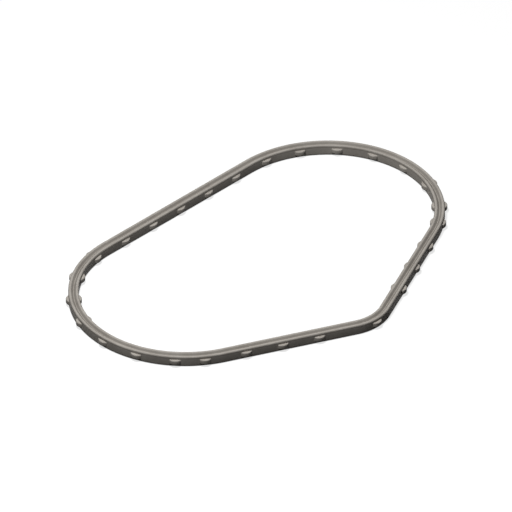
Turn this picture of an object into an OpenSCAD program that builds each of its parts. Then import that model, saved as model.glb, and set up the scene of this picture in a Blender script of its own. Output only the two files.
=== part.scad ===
// Press-in seal for a fuel pump: one moulded rubber loop that lies in a groove between two flanges.
// Two large arcs and a corner arc shape the loop, with a straight run between each two of them.
// Its section has a flat wall on each side and two rounded lips on each face, with a groove between them.
// The origin is at the centre of the loop's overall outline, on the surface that the lower lips rest on.

/* [Loop] */
// Radius of the two large arcs, to the middle of the section
end_r = 37.3; // [30:0.1:50]
// Length of the back run, between the two large arcs
back_len = 67.2; // [50:0.1:90]
// Radius of the corner arc, to the middle of the section
corner_r = 15.7; // [8:0.1:24]
// Angle between each side run and the back run
side_tilt = 25.1; // [18:0.1:35]

/* [Section] */
// Width between the flat side walls
seal_w = 3.5; // [3:0.1:3.8]
// Height over the crests of the lips
seal_h = 3.9; // [3.7:0.1:6]
// Radius of the rounded lips
lip_r = 0.6; // [0.55:0.05:0.75]
// Angle between the flanks of the groove
groove_angle = 90; // [80:1:110]
// Radius at the bottom of the groove
groove_r = 0.3; // [0.1:0.05:0.8]

/* [Retention nubs] */
// Distance that the nubs stand out of the side walls
nub_out = 0.95; // [0.3:0.05:1.5]
// Length of the nubs along the side walls
nub_len = 3.85; // [3:0.05:5]
// Height of the nubs
nub_h = 1.7; // [1.2:0.1:2.3]
// Radius on the upper and lower rims of the nubs
nub_rim_r = 0.3; // [0.1:0.05:0.55]
// Angle between one pair of nubs and the next on a large arc
nub_step = 20; // [12:1:30]
// Angle from each end of a large arc to its nearest pair
nub_arc_inset = 10; // [6:1:15]
// Distance from one pair of nubs to the next on a straight run
nub_pitch = 13; // [9:0.5:18]
// Distance from a large arc to the nearest pair on a straight run
nub_run_inset = 7.6; // [4:0.1:12]

/* [Hidden] */
$fn = 96;

rubber = [0.30, 0.28, 0.25];

// A side run leaves its large arc where the arc's outward normal points in this direction
side_dir = side_tilt - 90;
side_len = (back_len / 2 + (end_r - corner_r) * sin(side_tilt)) / cos(side_tilt);
end_sweep = 90 - side_dir;
corner_y = -(end_r - corner_r) * cos(side_tilt) - side_len * sin(side_tilt);

// The outline's middle in Y, measured from the line of the large arcs' centres
outline_mid_y = (end_r + corner_y - corner_r) / 2;

// The section's upper half, measured from its middle
wall_x = seal_w / 2;
lip_x = wall_x - lip_r;
lip_y = seal_h / 2 - lip_r;
flank_tilt = 90 - groove_angle / 2;
flank_x = lip_x - lip_r * sin(flank_tilt);
flank_y = lip_y + lip_r * cos(flank_tilt);
floor_x = groove_r * sin(flank_tilt);
floor_y = flank_y - (flank_x - floor_x) * tan(flank_tilt);
floor_centre_y = floor_y + groove_r * cos(flank_tilt);

// A nub is the part of a disc that stands out of the wall
nub_r = (nub_len * nub_len / 4 + nub_out * nub_out) / (2 * nub_out);
nub_x = wall_x + nub_out - nub_r;

// The last nub of a row: a row starts with the nub that is counted as 0
end_nubs = floor((end_sweep - 2 * nub_arc_inset) / nub_step);
back_nubs = floor((back_len / 2 - nub_run_inset) / nub_pitch);
side_nubs = floor((side_len - 1.5 * nub_run_inset) / nub_pitch);

// An arc is swept this many degrees too far, and cut where it meets the next run or the other half
over_sweep = 2;
reach = back_len + 2 * end_r;

// Upper half of the section: x runs across the seal and y up it
module half_section() {
    difference() {
        union() {
            polygon([
                [-wall_x, 0], [wall_x, 0], [wall_x, lip_y],
                [flank_x, flank_y], [floor_x, floor_y],
                [-floor_x, floor_y], [-flank_x, flank_y], [-wall_x, lip_y]
            ]);
            for (side = [-1, 1]) translate([side * lip_x, lip_y]) circle(lip_r);
        }
        translate([0, floor_centre_y]) circle(groove_r);
    }
}

module section() {
    half_section();
    mirror([0, 1]) half_section();
}

module arc(radius, from, sweep) {
    rotate_extrude(angle = sweep, start = from) translate([radius, 0]) section();
}

// A disc with rounded rims
module nub_disc() {
    rotate_extrude() {
        translate([0, nub_rim_r - nub_h / 2]) square([nub_r, nub_h - 2 * nub_rim_r]);
        translate([0, -nub_h / 2]) square([nub_r - nub_rim_r, nub_h]);
        for (side = [-1, 1])
            translate([nub_r - nub_rim_r, side * (nub_h / 2 - nub_rim_r)]) circle(nub_rim_r);
    }
}

// One nub on each wall, across the X axis
module nub_pair() {
    for (side = [-1, 1]) translate([side * nub_x, 0, 0]) nub_disc();
}

// Along the X axis, with the outside of the loop on the +Y side
module back_run() {
    translate([-back_len / 2, 0, 0]) rotate([90, 0, 90]) linear_extrude(back_len) section();
    for (k = [-back_nubs : back_nubs])
        translate([k * nub_pitch, 0, 0]) rotate([0, 0, 90]) nub_pair();
}

// About the origin, from the +X axis round to the back run and a little past it
module large_arc() {
    arc(end_r, 0, end_sweep + over_sweep);
    nub_angles = [for (k = [0 : end_nubs]) end_sweep - nub_arc_inset - k * nub_step];
    for (a = concat(nub_angles, [nub_arc_inset]))
        rotate([0, 0, a]) translate([end_r, 0, 0]) nub_pair();
}

// From the origin along -Y, with the outside of the loop on the +X side
module side_run() {
    rotate([90, 0, 0]) linear_extrude(side_len) section();
    for (k = [0 : side_nubs]) translate([0, -nub_run_inset - k * nub_pitch, 0]) nub_pair();
}

// The corner arc's half that a side run leads into, from the run's end and a little past the middle
module half_corner() {
    translate([-corner_r, 0, 0]) arc(corner_r, -side_tilt - over_sweep, side_tilt + over_sweep);
}

// All the space on the -X side of the YZ plane, from a place in Y upwards
module behind(from_y) {
    translate([-reach, from_y, -seal_h]) cube([reach, 2 * reach, 2 * seal_h]);
}

// The large arc on the +X side, the side run and its half of the corner. They join in the side run's
// frame, where the faces that meet are square to Y, and the ends are then cut in the loop's frame.
module right_side() {
    difference() {
        translate([back_len / 2, 0, 0]) rotate([0, 0, side_dir]) {
            large_arc();
            translate([end_r, 0, 0]) side_run();
            translate([end_r, -side_len, 0]) half_corner();
        }
        behind(-reach);
        translate([back_len / 2, 0, 0]) behind(0);
    }
}

module seal() {
    color(rubber) translate([0, -outline_mid_y, seal_h / 2]) {
        translate([0, end_r, 0]) back_run();
        right_side();
        mirror([1, 0, 0]) right_side();
        translate([0, corner_y - corner_r, 0]) rotate([0, 0, 90]) nub_pair();
    }
}

seal();
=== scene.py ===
from math import cos, pi, radians, sin, tan

import bpy
from mathutils import Matrix, Vector


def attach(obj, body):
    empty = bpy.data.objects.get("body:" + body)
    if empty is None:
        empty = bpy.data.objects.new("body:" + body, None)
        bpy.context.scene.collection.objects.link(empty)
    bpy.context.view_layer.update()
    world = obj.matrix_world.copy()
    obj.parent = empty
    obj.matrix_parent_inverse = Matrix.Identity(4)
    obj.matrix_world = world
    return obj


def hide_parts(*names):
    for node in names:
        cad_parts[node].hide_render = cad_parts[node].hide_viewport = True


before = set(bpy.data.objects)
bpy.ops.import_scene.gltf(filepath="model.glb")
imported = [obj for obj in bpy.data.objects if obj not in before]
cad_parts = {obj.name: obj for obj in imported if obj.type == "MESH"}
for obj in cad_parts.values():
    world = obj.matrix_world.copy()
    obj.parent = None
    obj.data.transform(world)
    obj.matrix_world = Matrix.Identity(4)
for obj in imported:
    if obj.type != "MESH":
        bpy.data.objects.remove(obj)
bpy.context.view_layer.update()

MM = 0.001

# The loop's centre line: two large arcs, the long straight run behind, two side runs and the corner
END_R = 37.3 * MM
BACK_LEN = 67.2 * MM
CORNER_R = 15.7 * MM
SIDE_TILT = radians(25.1)
SIDE_DIR = SIDE_TILT - pi / 2
SIDE_LEN = (BACK_LEN / 2 + (END_R - CORNER_R) * sin(SIDE_TILT)) / cos(SIDE_TILT)
CORNER_Y = -(END_R - CORNER_R) * cos(SIDE_TILT) - SIDE_LEN * sin(SIDE_TILT)
MID_Y = (END_R + CORNER_Y - CORNER_R) / 2

# The section: flat walls, two rounded lips above and below, and a rounded groove between them
SEAL_W = 3.5 * MM
SEAL_H = 3.9 * MM
LIP_R = 0.6 * MM
FLANK = radians(45)
GROOVE_R = 0.3 * MM

# The nubs: each is a part of a disc whose centre lies off the middle of the section
NUB_OUT = 0.95 * MM
NUB_LEN = 3.85 * MM
NUB_R = (NUB_LEN ** 2 / 4 + NUB_OUT ** 2) / (2 * NUB_OUT)
NUB_OFF = SEAL_W / 2 + NUB_OUT - NUB_R
NUB_H = 1.7 * MM
NUB_RIM_R = 0.3 * MM
NUB_STEP = radians(20)
NUB_ARC_INSET = radians(10)
NUB_PITCH = 13 * MM
NUB_RUN_INSET = 7.6 * MM

# The last nub of each row, where the first is counted as 0
BACK_NUBS = int((BACK_LEN / 2 - NUB_RUN_INSET) / NUB_PITCH)
ARC_NUBS = int((pi / 2 - SIDE_DIR - 2 * NUB_ARC_INSET) / NUB_STEP)
SIDE_NUBS = int((SIDE_LEN - 1.5 * NUB_RUN_INSET) / NUB_PITCH)

# Flats on each curve, and lengths that each straight run is drawn in
LIP_STEPS = 15
GROOVE_STEPS = 6
ARC_STEPS = 124
CORNER_STEPS = 24
BACK_STEPS = 16
SIDE_STEPS = 22
NUB_SIDES = 64
RIM_STEPS = 6

# Points closer than this are one point
SAME = 1e-6

# The photo's frame: its width in pixels, its scale, and how far right of its middle and above it
# the middle between the large arcs' centres lies
PHOTO_WIDTH = 512
PX_PER_MM = 3
MIDDLE_RIGHT = 0.19 * MM
MIDDLE_UP = 0.90 * MM
CAMERA_AWAY = 0.6

MID_Z = SEAL_H / 2
BACK_Y = END_R - MID_Y
ARC_CENTRE = Vector((BACK_LEN / 2, -MID_Y, MID_Z))
CORNER_CENTRE = Vector((0, CORNER_Y - MID_Y, MID_Z))
RUN_WAY = Vector((sin(SIDE_DIR), -cos(SIDE_DIR), 0))


def deselect_all():
    """Leaves edit mode and drops the selection that the frame's loading leaves behind."""
    if bpy.context.object and bpy.context.object.mode != "OBJECT":
        bpy.ops.object.mode_set(mode="OBJECT")
    bpy.ops.object.select_all(action="DESELECT")


def make_active(piece):
    deselect_all()
    piece.select_set(True)
    bpy.context.view_layer.objects.active = piece


def apply_place(piece):
    make_active(piece)
    bpy.ops.object.transform_apply(location=True, rotation=True, scale=True)


def pick_verts(piece, wanted):
    """Selects the vertices for which wanted(place) is true, in vertex mode."""
    bpy.ops.mesh.select_mode(type="VERT")
    bpy.ops.mesh.select_all(action="DESELECT")
    bpy.ops.object.mode_set(mode="OBJECT")
    for v in piece.data.vertices:
        v.select = wanted(v.co)
    bpy.ops.object.mode_set(mode="EDIT")


def pick_edges(piece, wanted):
    """Selects the edges for which wanted(place_a, place_b) is true, in edge mode."""
    bpy.ops.mesh.select_mode(type="EDGE")
    bpy.ops.mesh.select_all(action="DESELECT")
    bpy.ops.object.mode_set(mode="OBJECT")
    co = piece.data.vertices
    for e in piece.data.edges:
        e.select = wanted(co[e.vertices[0]].co, co[e.vertices[1]].co)
    bpy.ops.object.mode_set(mode="EDIT")


def apply_modifier(piece, kind, **settings):
    make_active(piece)
    m = piece.modifiers.new(kind.title(), kind)
    for name, value in settings.items():
        setattr(m, name, value)
    bpy.ops.object.modifier_apply(modifier=m.name)


def merge_doubles():
    """Merges the active piece's doubled points, and leaves it all selected in edit mode."""
    bpy.ops.object.mode_set(mode="EDIT")
    bpy.ops.mesh.select_all(action="SELECT")
    bpy.ops.mesh.remove_doubles(threshold=SAME)


def section_ring():
    """The seal's section as one closed ring of edges, at the middle of the long straight run."""
    lip_y = SEAL_W / 2 - LIP_R
    lip_z = SEAL_H / 2 - LIP_R
    # Each flank is tangent to its lip's circle at the top, and to the groove's circle at its foot
    groove_z = lip_z + (LIP_R + GROOVE_R - lip_y * cos(FLANK)) / sin(FLANK)
    deselect_all()
    bpy.ops.mesh.primitive_plane_add(
        size=1, location=(0, SEAL_W / 4, lip_z / 2), rotation=(0, pi / 2, 0))
    ring = bpy.context.object
    ring.name = "seal_body"
    ring.scale = (lip_z, SEAL_W / 2, 1)
    apply_place(ring)
    # Only the wall's edge is kept. The lip, the flank and half the groove are drawn on from its top
    bpy.ops.object.mode_set(mode="EDIT")
    pick_verts(ring, lambda p: p.y < SEAL_W / 4)
    bpy.ops.mesh.delete(type="VERT")
    pick_verts(ring, lambda p: p.z > lip_z / 2)
    bpy.ops.mesh.spin(
        steps=LIP_STEPS, angle=FLANK - pi, center=(0, lip_y, lip_z), axis=(1, 0, 0))
    # Straight down the flank, from the lip's circle to the groove's
    both = LIP_R + GROOVE_R
    down = (0, both * cos(FLANK) - lip_y, groove_z - lip_z - both * sin(FLANK))
    bpy.ops.mesh.extrude_vertices_move(TRANSFORM_OT_translate={"value": down})
    bpy.ops.mesh.spin(
        steps=GROOVE_STEPS, angle=pi / 2 - FLANK, center=(0, 0, groove_z), axis=(1, 0, 0))
    apply_modifier(ring, "MIRROR", use_axis=(False, True, True), merge_threshold=SAME)
    merge_doubles()
    bpy.ops.transform.translate(value=(0, BACK_Y, MID_Z))
    return ring


def run_on(way, steps):
    """Draws the selected ring out along a straight way, in equal steps."""
    for _ in range(steps):
        bpy.ops.mesh.extrude_region_move(
            TRANSFORM_OT_translate={"value": tuple(way / steps)})


def seal_loop():
    """Draws half the loop from the ring, round to the corner's middle, and mirrors it."""
    loop = section_ring()
    bpy.ops.mesh.select_all(action="SELECT")
    run_on(Vector((BACK_LEN / 2, 0, 0)), BACK_STEPS)
    bpy.ops.mesh.spin(
        steps=ARC_STEPS, angle=pi / 2 - SIDE_DIR, center=ARC_CENTRE, axis=(0, 0, 1))
    run_on(RUN_WAY * SIDE_LEN, SIDE_STEPS)
    bpy.ops.mesh.spin(
        steps=CORNER_STEPS, angle=SIDE_TILT, center=CORNER_CENTRE, axis=(0, 0, 1))
    apply_modifier(loop, "MIRROR", use_axis=(True, False, False), merge_threshold=SAME)
    merge_doubles()
    bpy.ops.mesh.normals_make_consistent(inside=False)
    return loop


def nub_disc():
    """One disc with rounded rims, at the origin. The part of it outside the wall is a nub."""
    deselect_all()
    bpy.ops.mesh.primitive_cylinder_add(
        vertices=NUB_SIDES, radius=NUB_R, depth=NUB_H, location=(0, 0, 0))
    disc = bpy.context.object
    disc.name = "nub"
    bpy.ops.object.mode_set(mode="EDIT")
    pick_edges(disc, lambda a, b: abs(a.z - b.z) < SAME)
    bpy.ops.mesh.bevel(
        offset=NUB_RIM_R, offset_type="OFFSET", affect="EDGES", segments=RIM_STEPS, profile=0.5)
    bpy.ops.object.mode_set(mode="OBJECT")
    return disc


def nub_places():
    """Each place on the section's middle that has a pair of nubs, and the turn of its pair."""
    places = []
    for k in range(-BACK_NUBS, BACK_NUBS + 1):
        places.append((Vector((k * NUB_PITCH, BACK_Y, MID_Z)), pi / 2))
    angles = [pi / 2 - NUB_ARC_INSET - k * NUB_STEP for k in range(ARC_NUBS + 1)]
    angles.append(SIDE_DIR + NUB_ARC_INSET)
    out = Vector((cos(SIDE_DIR), sin(SIDE_DIR), 0))
    # A pair is the same after half a turn, so a mirrored place takes the opposite turn
    for side in (1, -1):
        for a in angles:
            p = ARC_CENTRE + END_R * Vector((cos(a), sin(a), 0))
            places.append((Vector((side * p.x, p.y, p.z)), side * a))
        for k in range(SIDE_NUBS + 1):
            p = ARC_CENTRE + END_R * out + RUN_WAY * (NUB_RUN_INSET + k * NUB_PITCH)
            places.append((Vector((side * p.x, p.y, p.z)), side * SIDE_DIR))
    places.append((CORNER_CENTRE - Vector((0, CORNER_R, 0)), -pi / 2))
    return places


def nub_row(disc, off):
    """A disc at each place, this far off the middle of the section, joined to one object."""
    copies = []
    for place, turn in nub_places():
        copy = disc.copy()
        copy.data = disc.data.copy()
        turned = Matrix.Rotation(turn, 4, "Z")
        copy.data.transform(Matrix.Translation(place) @ turned @ Matrix.Translation((off, 0, 0)))
        bpy.context.collection.objects.link(copy)
        copies.append(copy)
    deselect_all()
    for copy in copies:
        copy.select_set(True)
    bpy.context.view_layer.objects.active = copies[0]
    bpy.ops.object.join()
    return bpy.context.object


def seal():
    """The whole seal as one closed mesh: the loop, with a nub on each wall at each place."""
    body = seal_loop()
    disc = nub_disc()
    for off in (NUB_OFF, -NUB_OFF):
        nubs = nub_row(disc, off)
        apply_modifier(body, "BOOLEAN", object=nubs, operation="UNION", solver="EXACT")
        bpy.data.objects.remove(nubs)
    bpy.data.objects.remove(disc)
    make_active(body)
    bpy.ops.object.shade_smooth_by_angle(angle=radians(35))
    return body


def node(tree, kind, place, **values):
    """Adds a node. Each value goes to the input of that name, or else to the node's setting."""
    n = tree.nodes.new(kind)
    n.location = place
    for name, value in values.items():
        if name in n.inputs:
            n.inputs[name].default_value = value
        else:
            setattr(n, name, value)
    return n


def paint_ramp(ramp, stops):
    """Sets a colour ramp's stops, each a place and a colour, from the first to the last."""
    elements = ramp.color_ramp.elements
    while len(elements) < len(stops):
        elements.new(1.0)
    for e, (place, color) in zip(elements, stops):
        e.position = place
        e.color = (*color, 1.0)


def moulded_rubber():
    """Warm grey-brown rubber: satin, faintly mottled, with the fine grain of the mould, and painted
    shade in the groove and on the lips' shoulders.
    """
    m = bpy.data.materials.new("moulded_rubber")
    m.use_nodes = True
    t = m.node_tree
    link = t.links.new
    shader = t.nodes["Principled BSDF"]
    shader.inputs["Specular IOR Level"].default_value = 0.08
    where = node(t, "ShaderNodeTexCoord", (-1600, 0))

    # Mottling over several millimetres, and a finer speckle of filler
    cloud = node(t, "ShaderNodeTexNoise", (-1300, 300), Scale=160.0, Detail=4.0, Roughness=0.6)
    speckle = node(t, "ShaderNodeTexNoise", (-1300, 0), Scale=2600.0, Detail=2.0, Roughness=0.5)
    blend = node(t, "ShaderNodeMath", (-1000, 150), operation="MULTIPLY_ADD")
    blend.inputs[1].default_value = 0.45
    tint = node(t, "ShaderNodeValToRGB", (-750, 150))
    paint_ramp(tint, (
        (0.35, (0.312, 0.285, 0.254)),
        (0.85, (0.423, 0.395, 0.358)),
    ))
    link(where.outputs["Object"], cloud.inputs["Vector"])
    link(where.outputs["Object"], speckle.inputs["Vector"])
    link(speckle.outputs["Fac"], blend.inputs[0])
    link(cloud.outputs["Fac"], blend.inputs[2])
    link(blend.outputs["Value"], tint.inputs["Fac"])

    # Painted shade: the groove, the flanks and the lips' shoulders are darkened in the colour,
    # where shade falls on them, while the crests and the walls keep the plain colour. The shade
    # goes by the distance from mid height, as a share of the distance to the crests
    place = node(t, "ShaderNodeSeparateXYZ", (-1300, 600))
    height = node(t, "ShaderNodeMath", (-1150, 600), operation="SUBTRACT")
    height.inputs[1].default_value = MID_Z
    distance = node(t, "ShaderNodeMath", (-1000, 600), operation="ABSOLUTE")
    share = node(t, "ShaderNodeMath", (-850, 600), operation="DIVIDE")
    share.inputs[1].default_value = MID_Z
    shade = node(t, "ShaderNodeValToRGB", (-700, 600))
    paint_ramp(shade, (
        (0.58, (1.0, 1.0, 1.0)),
        (0.64, (0.64, 0.63, 0.62)),
        (0.86, (0.64, 0.64, 0.64)),
        (0.97, (1.0, 1.0, 1.0)),
    ))
    # Multiplies the painted shade into the mottled colour
    painted_shade_mix = node(t, "ShaderNodeMix", (-350, 300), data_type="RGBA", blend_type="MULTIPLY")
    painted_shade_mix.inputs["Factor"].default_value = 1.0
    link(where.outputs["Object"], place.inputs["Vector"])
    link(place.outputs["Z"], height.inputs[0])
    link(height.outputs["Value"], distance.inputs[0])
    link(distance.outputs["Value"], share.inputs[0])
    link(share.outputs["Value"], shade.inputs["Fac"])
    link(tint.outputs["Color"], painted_shade_mix.inputs["A"])
    link(shade.outputs["Color"], painted_shade_mix.inputs["B"])
    link(painted_shade_mix.outputs["Result"], shader.inputs["Base Color"])

    # Satin, with slightly duller patches where the mottling is lighter
    dull = node(t, "ShaderNodeMapRange", (-750, -150))
    dull.inputs["From Min"].default_value = 0.3
    dull.inputs["From Max"].default_value = 0.7
    dull.inputs["To Min"].default_value = 0.48
    dull.inputs["To Max"].default_value = 0.62
    link(cloud.outputs["Fac"], dull.inputs["Value"])
    link(dull.outputs["Result"], shader.inputs["Roughness"])

    # The mould's grain, which is only in the bump
    grain = node(t, "ShaderNodeTexNoise", (-1300, -300), Scale=4200.0, Detail=3.0, Roughness=0.55)
    bump = node(t, "ShaderNodeBump", (-350, -300), Strength=0.45, Distance=0.00003)
    link(where.outputs["Object"], grain.inputs["Vector"])
    link(grain.outputs["Fac"], bump.inputs["Height"])
    link(bump.outputs["Normal"], shader.inputs["Normal"])
    return m


def floor():
    """A plain white floor, which keeps the seal's soft shadow."""
    deselect_all()
    bpy.ops.mesh.primitive_plane_add(size=6, location=(0, 0, 0))
    ground = bpy.context.object
    ground.name = "floor"
    m = bpy.data.materials.new("white_floor")
    m.use_nodes = True
    t = m.node_tree
    shader = t.nodes["Principled BSDF"]
    shader.inputs["Roughness"].default_value = 0.9
    shader.inputs["Specular IOR Level"].default_value = 0.0
    lift = node(t, "ShaderNodeEmission", (0, -250), Color=(1, 1, 1, 1), Strength=0.75)
    ray = node(t, "ShaderNodeLightPath", (-600, 200))
    seen = node(t, "ShaderNodeMath", (-400, 200), operation="MAXIMUM")
    clear = node(t, "ShaderNodeMath", (-200, 200), operation="MAXIMUM")
    # The floor bounces little light back at the seal's walls, and still looks white itself
    paint = node(t, "ShaderNodeMix", (-200, -50), data_type="RGBA")
    paint.inputs["A"].default_value = (0.04, 0.04, 0.04, 1)
    paint.inputs["B"].default_value = (0.30, 0.30, 0.30, 1)
    both = node(t, "ShaderNodeAddShader", (200, 0))
    pick = node(t, "ShaderNodeMixShader", (400, 0))
    link = t.links.new
    link(ray.outputs["Is Camera Ray"], seen.inputs[0])
    link(ray.outputs["Is Glossy Ray"], seen.inputs[1])
    link(seen.outputs["Value"], clear.inputs[0])
    link(ray.outputs["Is Transmission Ray"], clear.inputs[1])
    link(clear.outputs["Value"], pick.inputs["Fac"])
    link(clear.outputs["Value"], paint.inputs["Factor"])
    link(paint.outputs["Result"], shader.inputs["Base Color"])
    link(shader.outputs["BSDF"], both.inputs[0])
    link(lift.outputs["Emission"], both.inputs[1])
    link(shader.outputs["BSDF"], pick.inputs[1])
    link(both.outputs["Shader"], pick.inputs[2])
    link(pick.outputs["Shader"], t.nodes["Material Output"].inputs["Surface"])
    ground.data.materials.append(m)


def studio():
    """A soft lamp high up on the -X side, a faint one low behind, and a white world."""
    world = bpy.data.worlds.new("studio")
    bpy.context.scene.world = world
    world.use_nodes = True
    t = world.node_tree
    ambient = t.nodes["Background"]
    ambient.inputs["Color"].default_value = (1, 1, 1, 1)
    ambient.inputs["Strength"].default_value = 0.01
    white = node(t, "ShaderNodeBackground", (0, -200), Color=(1, 1, 1, 1), Strength=1.0)
    ray = node(t, "ShaderNodeLightPath", (-200, 200))
    pick = node(t, "ShaderNodeMixShader", (250, 0))
    t.links.new(ray.outputs["Is Camera Ray"], pick.inputs["Fac"])
    t.links.new(ambient.outputs["Background"], pick.inputs[1])
    t.links.new(white.outputs["Background"], pick.inputs[2])
    t.links.new(pick.outputs["Shader"], t.nodes["World Output"].inputs["Surface"])
    for name, place, size, power in (
        ("key", (-0.205, -0.040, 0.772), 0.20, 6.5),
        ("back", (0.55, 0.55, 0.16), 0.25, 0.6),
    ):
        lamp = bpy.data.lights.new(name, "AREA")
        lamp.shape = "DISK"
        lamp.size = size
        lamp.energy = power
        holder = bpy.data.objects.new(name, lamp)
        holder.location = place
        holder.rotation_euler = (-Vector(place)).to_track_quat("-Z", "Y").to_euler()
        bpy.context.collection.objects.link(holder)


def camera():
    """A plain parallel view from the front left, at the same slope to all three axes."""
    back = Vector((-1, -1, 1)).normalized()
    right = Vector((1, -1, 0)).normalized()
    up = back.cross(right)
    seen = Vector((0, -MID_Y, MID_Z)) - right * MIDDLE_RIGHT - up * MIDDLE_UP
    cam = bpy.data.cameras.new("camera")
    cam.type = "ORTHO"
    cam.ortho_scale = PHOTO_WIDTH / PX_PER_MM * MM
    cam.clip_start = 0.01
    cam.clip_end = 10
    holder = bpy.data.objects.new("camera", cam)
    holder.location = seen + back * CAMERA_AWAY
    holder.rotation_euler = Matrix((right, up, back)).transposed().to_euler()
    bpy.context.collection.objects.link(holder)
    bpy.context.scene.camera = holder


loop_seal = seal()
loop_seal.data.materials.append(moulded_rubber())
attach(loop_seal, "root")
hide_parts("seal")
floor()
studio()
camera()
bpy.context.scene.view_settings.view_transform = "Standard"
